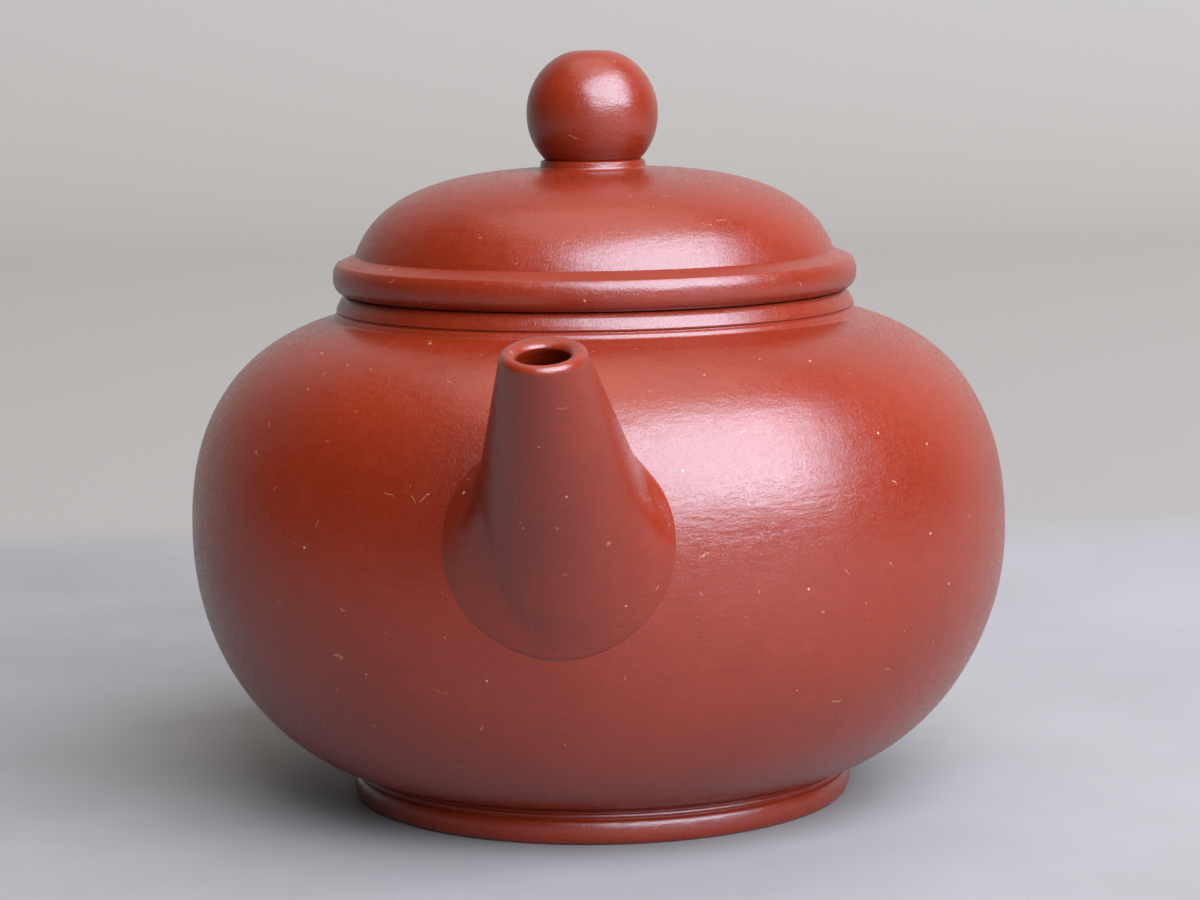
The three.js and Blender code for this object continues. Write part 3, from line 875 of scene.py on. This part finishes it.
class Nodes:
    """A new material, with short ways to add and join its shader nodes."""

    def __init__(self, name):
        self.material = bpy.data.materials.new(name)
        self.material.use_nodes = True
        self.tree = self.material.node_tree
        self.tree.nodes.clear()

    def add(self, kind, inputs=None, **settings):
        """A node with these settings. Its inputs are values, or outputs of other nodes."""
        node = self.tree.nodes.new("ShaderNode" + kind)
        for key, value in settings.items():
            setattr(node, key, value)
        for key, value in (inputs or {}).items():
            if isinstance(value, bpy.types.NodeSocket):
                self.tree.links.new(value, node.inputs[key])
            else:
                node.inputs[key].default_value = value
        return node

    def math(self, operation, a, b=0.0, c=0.0, clamp=False):
        node = self.add("Math", {0: a, 1: b, 2: c}, operation=operation, use_clamp=clamp)
        return node.outputs[0]

    def vector_math(self, operation, a, b=(0.0, 0.0, 0.0), output="Vector"):
        return self.add("VectorMath", {0: a, 1: b}, operation=operation).outputs[output]

    def step(self, value, low, high):
        """0 below low, 1 above high, and eased in between."""
        node = self.add("MapRange", {"Value": value, "From Min": low, "From Max": high},
                        interpolation_type="SMOOTHSTEP")
        return node.outputs["Result"]

    def ramp(self, value, low, high, top=1.0):
        """0 below low, top above high, and straight in between."""
        node = self.add("MapRange", {"Value": value, "From Min": low, "From Max": high,
                                     "To Max": top})
        return node.outputs["Result"]

    def mix(self, factor, a, b):
        """A colour from a, where the factor is 0, to b, where it is 1."""
        return self.add("Mix", {0: factor, 6: a, 7: b}, data_type="RGBA").outputs[2]

    def noise(self, vector, scale, detail=2.0, roughness=0.5):
        node = self.add("TexNoise", {"Vector": vector, "Scale": scale, "Detail": detail,
                                     "Roughness": roughness})
        return node.outputs["Fac"]

    def stretched(self, vector, scale, turn=(0, 0, 0)):
        node = self.add("Mapping", {"Vector": vector, "Rotation": turn, "Scale": scale})
        return node.outputs["Vector"]

    def surface(self, shader):
        """Ends the material with a shader, and returns it."""
        output = self.add("OutputMaterial")
        self.tree.links.new(shader.outputs[0], output.inputs["Surface"])
        return self.material


CLAY = (0.1912, 0.014, 0.002, 1)
CLAY_DEEP = (0.1666, 0.0109, 0.0014, 1)
CLAY_BRIGHT = (0.2102, 0.018, 0.0034, 1)
GRAIN_PALE = (0.50, 0.24, 0.12, 1)
GRAIN_DARK = (0.12, 0.02, 0.01, 1)
MOTTLE_SHARE = 0.35               # how strongly each of the marks covers the clay's colour
PALE_SHARE = 0.75
DARK_SHARE = 0.6
FIBRE_SHARE = 0.34

# Noises in the clay: features per mm, levels of detail and, where it isn't 0.5, roughness.
CLOUDS = (0.06, 3.0)
MOTTLE = (0.5, 4.0, 0.6)
GRAIN = (7.0, 2.0)
RIPPLE = (0.35, 2.0)
PADDLE = (1.0, 3.0, 0.6)
PADDLE_STRETCH = (0.30, 0.30, 1.15)
GLOSS = (0.9, 3.0)
CLOUDS_RANGE = (0.3, 0.7)         # the values of a noise between which its mask goes from 0 to 1
MOTTLE_RANGE = (0.45, 0.75)
STROKE_RANGE = (0.58, 0.74)

# Round grains. Each kind is spread over cells, so many per mm, with at most one grain in a cell.
# The radius and how much it varies are shares of a cell, and some of the cells are left empty.
PALE_GRAINS = {"cells": 0.42, "radius": 0.02, "varies": 0.055, "channel": "Red", "empty": 0.50}
DARK_GRAINS = {"cells": 0.33, "radius": 0.03, "varies": 0.0, "channel": "Blue", "empty": 0.7}

# Short fibre marks, spread in the same way. Where the half length is below 0 there is no mark.
FIBRE_CELLS = 0.36
FIBRE_HALF_LENGTH = -0.30
FIBRE_LENGTH_VARIES = 0.9
FIBRE_HALF_WIDTH = 0.045
FIBRE_BENDS = 0.8                 # bends per mm

# Directions of the burnisher's strokes, and how long and wide a stroke is, in strokes per mm.
STROKES = (
    ((0.0, 0.0, 0.0), (0.45, 3.6, 3.6)),
    ((0.0, 0.2, 1.3), (0.40, 4.0, 4.0)),
    ((0.3, 1.4, 0.4), (0.60, 3.8, 3.8)),
    ((0.9, 0.5, 0.8), (0.45, 3.2, 3.2)),
    ((-0.8, 0.7, 2.2), (0.50, 4.2, 4.2)),
)

# Relief in the shading, in steps of RELIEF_STEP millimetres.
RELIEF_STEP = 0.030
RIPPLE_HEIGHT = 1.2
PADDLE_HEIGHT = 1.9
PALE_GRAIN_HEIGHT = 0.5

GLOSS_VARIES = 0.12               # how much roughness the noise, and the strokes, add
STROKES_DULL = 0.10

# The clay's finishes: height of the strokes and of the fine grain, least roughness, and mirror.
FINISHES = {
    "burnished_clay": (-0.21, 0.12, 0.23, 0.65),
    "plain_clay": (0.0, 0.62, 0.44, 0.36),
}


def grains(n, mm, cells, radius, varies, channel, empty):
    """1 inside round grains, and 0 elsewhere."""
    voronoi = n.add("TexVoronoi", {"Vector": mm, "Scale": cells, "Randomness": 1.0})
    chance = n.add("SeparateColor", {"Color": voronoi.outputs["Color"]}).outputs
    size = n.math("MULTIPLY_ADD", chance["Green"], varies, radius)
    inside = n.math("LESS_THAN", voronoi.outputs["Distance"], size)
    return n.math("MULTIPLY", inside, n.math("GREATER_THAN", chance[channel], empty))


def fibres(n, mm):
    """1 where the surface cuts through thin round slices, one in the middle of each cell."""
    bends = n.add("TexNoise", {"Vector": mm, "Scale": FIBRE_BENDS}).outputs["Color"]
    bent = n.vector_math("ADD", mm, bends)
    voronoi = n.add("TexVoronoi", {"Vector": bent, "Scale": FIBRE_CELLS, "Randomness": 1.0})
    chance = n.add("SeparateColor", {"Color": voronoi.outputs["Color"]}).outputs
    offset = n.vector_math("SUBTRACT", bent, voronoi.outputs["Position"])
    lean = n.vector_math("SUBTRACT", voronoi.outputs["Color"], (0.5, 0.5, 0.5))
    lean = n.vector_math("NORMALIZE", lean)
    aside = n.math("ABSOLUTE", n.vector_math("DOT_PRODUCT", offset, lean, "Value"))
    away = n.vector_math("LENGTH", offset, output="Value")
    reach = n.math("MULTIPLY_ADD", chance["Blue"], FIBRE_LENGTH_VARIES, FIBRE_HALF_LENGTH)
    within = n.math("LESS_THAN", away, reach)
    return n.math("MULTIPLY", within, n.math("LESS_THAN", aside, FIBRE_HALF_WIDTH))


def burnisher_strokes(n, mm):
    """1 along the strokes, and 0 between them."""
    strokes = 0.0
    for turn, scale in STROKES:
        streaks = n.noise(n.stretched(mm, scale, turn), 1.0, 1.0)
        strokes = n.math("MAXIMUM", strokes, n.step(streaks, *STROKE_RANGE))
    return strokes


def clay(name, stroke_height, grain_height, roughness, mirror):
    """Red clay with one of the FINISHES, worked out in millimetres."""
    n = Nodes(name)
    mm = n.stretched(n.add("TexCoord").outputs["Object"], (1 / MM, 1 / MM, 1 / MM))
    mottle = n.step(n.noise(mm, *MOTTLE), *MOTTLE_RANGE)
    pale = grains(n, mm, **PALE_GRAINS)
    dark = grains(n, mm, **DARK_GRAINS)
    strokes = burnisher_strokes(n, mm)

    colour = n.mix(n.step(n.noise(mm, *CLOUDS), *CLOUDS_RANGE), CLAY_DEEP, CLAY)
    for mask, share, tone in (
        (mottle, MOTTLE_SHARE, CLAY_BRIGHT),
        (pale, PALE_SHARE, GRAIN_PALE),
        (dark, DARK_SHARE, GRAIN_DARK),
        (fibres(n, mm), FIBRE_SHARE, GRAIN_PALE),
    ):
        colour = n.mix(n.math("MULTIPLY", mask, share), colour, tone)

    height = n.math("MULTIPLY", n.noise(mm, *GRAIN), grain_height)
    for relief, rise in (
        (strokes, stroke_height),
        (n.noise(mm, *RIPPLE), RIPPLE_HEIGHT),
        (n.noise(n.stretched(mm, PADDLE_STRETCH), *PADDLE), PADDLE_HEIGHT),
        (pale, PALE_GRAIN_HEIGHT),
    ):
        height = n.math("MULTIPLY_ADD", relief, rise, height)
    bump = n.add("Bump", {"Strength": 1.0, "Distance": RELIEF_STEP * MM, "Height": height})

    rough = n.math("MULTIPLY_ADD", n.noise(mm, *GLOSS), GLOSS_VARIES, roughness)
    rough = n.math("MULTIPLY_ADD", strokes, STROKES_DULL, rough)
    return n.surface(n.add("BsdfPrincipled", {
        "Base Color": colour,
        "Roughness": rough,
        "Normal": bump.outputs["Normal"],
        "IOR": 1.5,
        "Specular IOR Level": mirror,
    }))


# ------------------------------------------------------------ camera, lights and floor

CAMERA_DISTANCE = 371.0
CAMERA_HEIGHT = 88.2
CAMERA_TURN = math.radians(4.7)
CAMERA_PITCH = math.radians(7.82)
CAMERA_ROLL = math.radians(0.875)
CAMERA_ASIDE = math.radians(0.045)
LENS = 103.4


def camera():
    data = bpy.data.cameras.new("camera")
    data.lens = LENS
    data.sensor_width = 36
    data.clip_start = 0.01
    data.clip_end = 20
    obj = linked("camera", data)
    obj.location = Vector((
        CAMERA_DISTANCE * math.cos(CAMERA_TURN),
        CAMERA_DISTANCE * math.sin(CAMERA_TURN),
        CAMERA_HEIGHT,
    )) * MM
    heading = Matrix.Rotation(CAMERA_TURN + math.pi / 2 - CAMERA_ASIDE, 4, "Z")
    pitch = Matrix.Rotation(math.pi / 2 - CAMERA_PITCH, 4, "X")
    roll = Matrix.Rotation(-CAMERA_ROLL, 4, "Z")
    obj.rotation_euler = (heading @ pitch @ roll).to_euler()
    bpy.context.scene.camera = obj


WINDOW_COLOUR = (0.67, 0.82, 1.0)
CEILING_COLOUR = (1.0, 0.97, 0.94)
ROOM_COLOUR = (1.0, 0.90, 0.80, 1)
ROOM_STRENGTH = 0.05
LIT_HEIGHT = 0.04                 # the lights face a place this far above the floor

# Azimuth and elevation in degrees, distance, size, power in watts and colour. Azimuth 0 is on
# the camera's side, and plus is to the camera's right.
LIGHTS = {
    "window": (36, 41, 2.0, (2.55, 2.02), 218, WINDOW_COLOUR),
    "window_low": (46, 20, 2.0, (1.12, 0.50), 8, WINDOW_COLOUR),
    "ceiling": (180, 86, 2.2, (2.0, 2.0), 18, CEILING_COLOUR),
}


def area_light(name, azimuth, elevation, distance, size, watts, colour):
    """A rectangular light that faces the pot."""
    data = bpy.data.lights.new(name, "AREA")
    data.shape = "RECTANGLE"
    data.size, data.size_y = size
    data.energy = watts
    data.color = colour
    obj = linked(name, data)
    turn = CAMERA_TURN + math.radians(azimuth)
    rise = math.radians(elevation)
    towards = Vector((
        math.cos(turn) * math.cos(rise),
        math.sin(turn) * math.cos(rise),
        math.sin(rise),
    ))
    obj.location = towards * distance + Vector((0, 0, LIT_HEIGHT))
    obj.rotation_euler = towards.to_track_quat("Z", "Y").to_euler()


def lights():
    for name, light in LIGHTS.items():
        area_light(name, *light)
    world = bpy.data.worlds.new("room")
    bpy.context.scene.world = world
    world.use_nodes = True
    background = world.node_tree.nodes["Background"]
    background.inputs["Color"].default_value = ROOM_COLOUR
    background.inputs["Strength"].default_value = ROOM_STRENGTH
    settings = bpy.context.scene.view_settings
    settings.view_transform = "Standard"
    settings.look = "None"


TABLE_PALE = (0.3053, 0.2608, 0.2433, 1)
# Dark end of the table's mottle, and also painted shade to the left, away from the window.
TABLE_DARK_MOTTLE_AND_SHADE = (0.1668, 0.1422, 0.1263, 1)
# Painted shade that the table's front takes on.
TABLE_FRONT_SHADE = (0.1221, 0.1049, 0.0968, 1)
TABLE_ROUGHNESS = 0.6
TABLE_BACK = -0.175               # where the table's tone gives way to the backdrop's
TABLE_BACK_HALF_WIDTH = 0.012     # and over what half width
TABLE_FRONT_NEAR = 0.30           # the table gets its painted front shade from the second of these to the first, and there takes on the share of it that follows
TABLE_FRONT_FAR = 0.07            # first, and there takes on the share of it that follows
TABLE_FRONT_SHARE = 0.75
TABLE_SHADE_ACROSS = 2.4                # painted shade: change from dark to pale for each metre across, paler towards the window
TABLE_MOTTLE = (22.0, 6.0, 0.66)  # a noise, as for the clay but per metre
TABLE_MOTTLE_SHARE = 0.7

BACKDROP_NEAR = (0.2483, 0.2028, 0.1685, 1)
BACKDROP_FAR = (0.2896, 0.2375, 0.1986, 1)
SWEEP_START = -0.75               # where the floor starts to curve up
SWEEP_RADIUS = 0.35
SWEEP_TOP = 1.6
SWEEP_STEPS = 16
STAGE_HALF_WIDTH = 4.0

SURROUND_RADIUS = 1.7
SURROUND_SIDES = 64
SURROUND_HEIGHTS = (-0.5, 2.5)
SURROUND_COLOUR = (0.96, 0.96, 1.0, 1)
SURROUND_GLOW = 0.45


def stage_material():
    """A pale table top with painted shade, darker to the left and in front, and a warmer backdrop
    behind it.
    """
    n = Nodes("pale_floor")
    shader = n.add("BsdfPrincipled", {"Roughness": TABLE_ROUGHNESS})
    place = n.add("TexCoord").outputs["Object"]
    axes = n.add("SeparateXYZ", {"Vector": place}).outputs
    mottle = n.math("MULTIPLY_ADD", n.noise(place, *TABLE_MOTTLE), TABLE_MOTTLE_SHARE,
                    -TABLE_MOTTLE_SHARE / 2)
    # Painted shade: the table darkens to the left, away from the window, under its mottle.
    fade = n.math("MULTIPLY_ADD", axes["Y"], TABLE_SHADE_ACROSS, 0.5)
    table = n.mix(n.math("ADD", fade, mottle, clamp=True), TABLE_DARK_MOTTLE_AND_SHADE, TABLE_PALE)
    # Painted shade: the table darkens towards the camera, where its front lies in shade.
    front = n.ramp(axes["X"], TABLE_FRONT_FAR, TABLE_FRONT_NEAR, TABLE_FRONT_SHARE)
    table = n.mix(front, table, TABLE_FRONT_SHADE)
    far = n.ramp(axes["X"], TABLE_BACK, SWEEP_START)
    backdrop = n.mix(far, BACKDROP_NEAR, BACKDROP_FAR)
    behind = n.step(axes["X"], TABLE_BACK + TABLE_BACK_HALF_WIDTH, TABLE_BACK - TABLE_BACK_HALF_WIDTH)
    n.tree.links.new(n.mix(behind, table, backdrop), shader.inputs["Base Color"])
    return n.surface(shader)


def stage():
    """The table top and the sweep behind it, as one surface that is square to the camera."""
    line = [(STAGE_HALF_WIDTH, 0.0), (SWEEP_START, 0.0)]
    for k in range(1, SWEEP_STEPS + 1):
        a = math.pi / 2 * k / SWEEP_STEPS
        line.append((SWEEP_START - SWEEP_RADIUS * math.sin(a), SWEEP_RADIUS * (1 - math.cos(a))))
    line.append((SWEEP_START - SWEEP_RADIUS, SWEEP_TOP))
    vertices = [(x, y, z) for x, z in line for y in (-STAGE_HALF_WIDTH, STAGE_HALF_WIDTH)]
    faces = [(2 * i, 2 * i + 1, 2 * i + 3, 2 * i + 2) for i in range(len(line) - 1)]
    floor = plain_mesh("floor", vertices, faces, unit=1.0)
    smooth(floor.data)
    floor.rotation_euler.z = CAMERA_TURN
    floor.data.materials.append(stage_material())


def surround():
    """A far pale wall that only the camera sees, so that low views have a plain background."""
    vertices = []
    for a in circle(SURROUND_SIDES):
        for z in SURROUND_HEIGHTS:
            vertices.append((SURROUND_RADIUS * math.cos(a), SURROUND_RADIUS * math.sin(a), z))
    count = len(vertices)
    faces = [(k, k + 1, (k + 3) % count, (k + 2) % count) for k in range(0, count, 2)]
    wall = plain_mesh("surround", vertices, faces, unit=1.0)
    n = Nodes("surround")
    glow = n.add("Emission", {"Color": SURROUND_COLOUR, "Strength": SURROUND_GLOW})
    wall.data.materials.append(n.surface(glow))
    wall.visible_diffuse = False
    wall.visible_glossy = False
    wall.visible_shadow = False


# ------------------------------------------------------------ assembly

PIECES = {
    "pot": (
        body_wall,
        shoulder_disc,
        base_disc,
        neck_collar,
        foot_ring,
        spout,
        spout_strainer,
        handle,
    ),
    "lid": (
        lid_dome,
        lid_rim,
        lid_flange,
        knob_collar,
        knob,
    ),
}
PLAIN = ("spout_strainer", "lid_flange")

camera()
stage()
surround()
lights()
CLAYS = {name: clay(name, *finish) for name, finish in FINISHES.items()}
for body, makers in PIECES.items():
    for maker in makers:
        node = maker.__name__
        piece = maker()
        piece.name = "fine_" + node
        slot = "plain_clay" if node in PLAIN else "burnished_clay"
        piece.data.materials.clear()
        piece.data.materials.append(CLAYS[slot])
        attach(piece, body)
        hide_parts(node)
